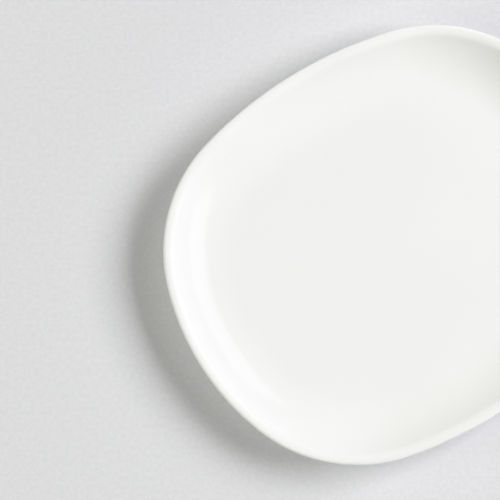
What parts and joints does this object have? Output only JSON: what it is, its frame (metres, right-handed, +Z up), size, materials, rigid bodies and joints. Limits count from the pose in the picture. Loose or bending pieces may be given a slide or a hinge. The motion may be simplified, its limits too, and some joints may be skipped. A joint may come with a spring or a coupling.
{
  "type": "bread plate",
  "caption": "Shallow coupe bread plate of white glazed porcelain with a soft irregular outline, a gently coved wall, a round lip and a low foot ring.",
  "frame": {"origin": "on the table, under the middle of the plate's bounding box", "axes": "+Z up out of the well, +X along the longer side of the bounding box, +Y along its shorter side"},
  "size_m": [0.17, 0.162, 0.0151],
  "materials": {
    "bare_porcelain": "fired, unglazed and ground at the foot",
    "white_glaze": "clear gloss glaze over white porcelain"
  },
  "bodies": {
    "root": {"body": "bare_porcelain", "outer_glaze": "white_glaze", "foot_well_glaze": "white_glaze"}
  },
  "joints": []
}
